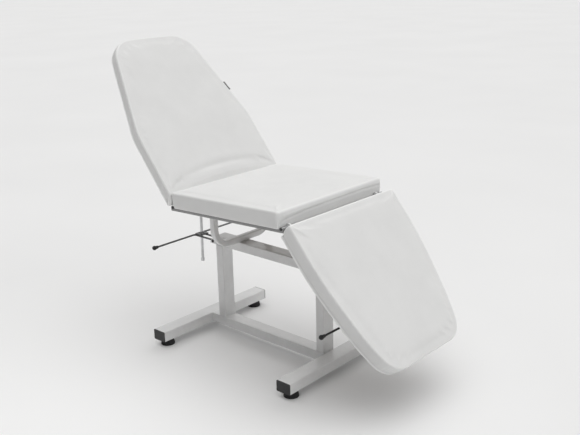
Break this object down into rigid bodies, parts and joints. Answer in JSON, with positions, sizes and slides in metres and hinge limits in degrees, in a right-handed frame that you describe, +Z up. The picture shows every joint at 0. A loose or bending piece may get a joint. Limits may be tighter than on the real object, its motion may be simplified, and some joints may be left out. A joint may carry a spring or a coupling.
{
  "type": "podiatry chair",
  "caption": "Padded treatment chair with a reclining backrest and a hinged leg rest, on a welded twin-rail stand with rubber feet and strut release levers.",
  "frame": {"origin": "on the floor under the middle of the chair's length and width", "axes": "+X toward the leg rest, +Y across to the sitter's left, +Z up"},
  "size_m": [1.47, 0.608, 1.2356],
  "materials": {
    "paint": "glossy pale grey powder coat",
    "vinyl": "white artificial leather with a soft sheen",
    "plywood": "plain plywood",
    "zinc": "bright zinc plate",
    "rod_steel": "dark bright-drawn steel rod and plate",
    "black_steel": "black coated steel",
    "black_plastic": "satin black moulding",
    "black_rubber": "dull black rubber"
  },
  "bodies": {
    "stand": {"rear_foot_tube": "paint", "front_foot_tube": "paint", "foot_end_caps": "black_plastic", "rubber_feet": "black_rubber", "rubber_foot_screws": "zinc", "lower_rail": "paint", "rear_post": "paint", "front_post": "paint", "upper_rail": "paint", "upper_rail_cap": "black_plastic", "rear_seat_bracket": "paint", "front_seat_bracket": "paint", "seat_frame": "paint", "seat_board": "plywood", "seat_cushion": "vinyl", "seat_board_screws": "zinc", "rear_hinge_pins": "zinc", "front_hinge_pins": "zinc", "hinge_pin_caps": "black_plastic", "rear_lever_bracket": "paint", "rear_lever_pin": "black_steel", "front_lever_bracket": "paint", "front_lever_pin": "black_steel"},
    "backrest": {"backrest_frame": "paint", "backrest_board": "plywood", "backrest_cushion": "vinyl", "backrest_board_screws": "zinc", "backrest_strut_pin": "zinc"},
    "backrest_strut": {"backrest_strut": "zinc", "backrest_strut_collar": "zinc"},
    "rear_lever": {"rear_release_lever": "rod_steel", "rear_lever_knobs": "black_plastic", "rear_gripping_plate": "rod_steel"},
    "legrest": {"legrest_frame": "paint", "legrest_board": "plywood", "legrest_cushion": "vinyl", "legrest_board_screws": "zinc", "legrest_strut_pin": "zinc"},
    "legrest_strut": {"legrest_strut": "zinc", "legrest_strut_collar": "zinc"},
    "front_lever": {"front_release_lever": "black_steel", "front_lever_knobs": "black_plastic", "front_gripping_plate": "rod_steel"}
  },
  "joints": [
    {"name": "backrest_tilt", "type": "hinge", "parent": "stand", "child": "backrest", "pos_m": [-0.26855, 0, 0.6295], "axis": [0, -1, 0], "range_deg": [-18.6, 51.4]},
    {"name": "backrest_strut_swing", "type": "hinge", "parent": "backrest", "child": "backrest_strut", "pos_m": [-0.43079, 0, 0.80068], "axis": [0, -1, 0], "range_deg": [-30.9, 11.3]},
    {"name": "rear_lever_lift", "type": "hinge", "parent": "stand", "child": "rear_lever", "pos_m": [-0.34055, 0, 0.4058], "axis": [0, 1, 0], "range_deg": [0, 6]},
    {"name": "legrest_tilt", "type": "hinge", "parent": "stand", "child": "legrest", "pos_m": [0.30341, 0, 0.65447], "axis": [0, -1, 0], "range_deg": [-8, 50.6]},
    {"name": "legrest_strut_swing", "type": "hinge", "parent": "legrest", "child": "legrest_strut", "pos_m": [0.35949, 0, 0.54524], "axis": [0, -1, 0], "range_deg": [-64.8, 10.4]},
    {"name": "front_lever_lift", "type": "hinge", "parent": "stand", "child": "front_lever", "pos_m": [0.31255, 0, 0.268], "axis": [0, -1, 0], "range_deg": [0, 6]}
  ],
  "couplings": [
    {"joint": "backrest_strut_swing", "follows": "backrest_tilt", "ratio": -0.5975},
    {"joint": "legrest_strut_swing", "follows": "legrest_tilt", "ratio": -1.275}
  ]
}
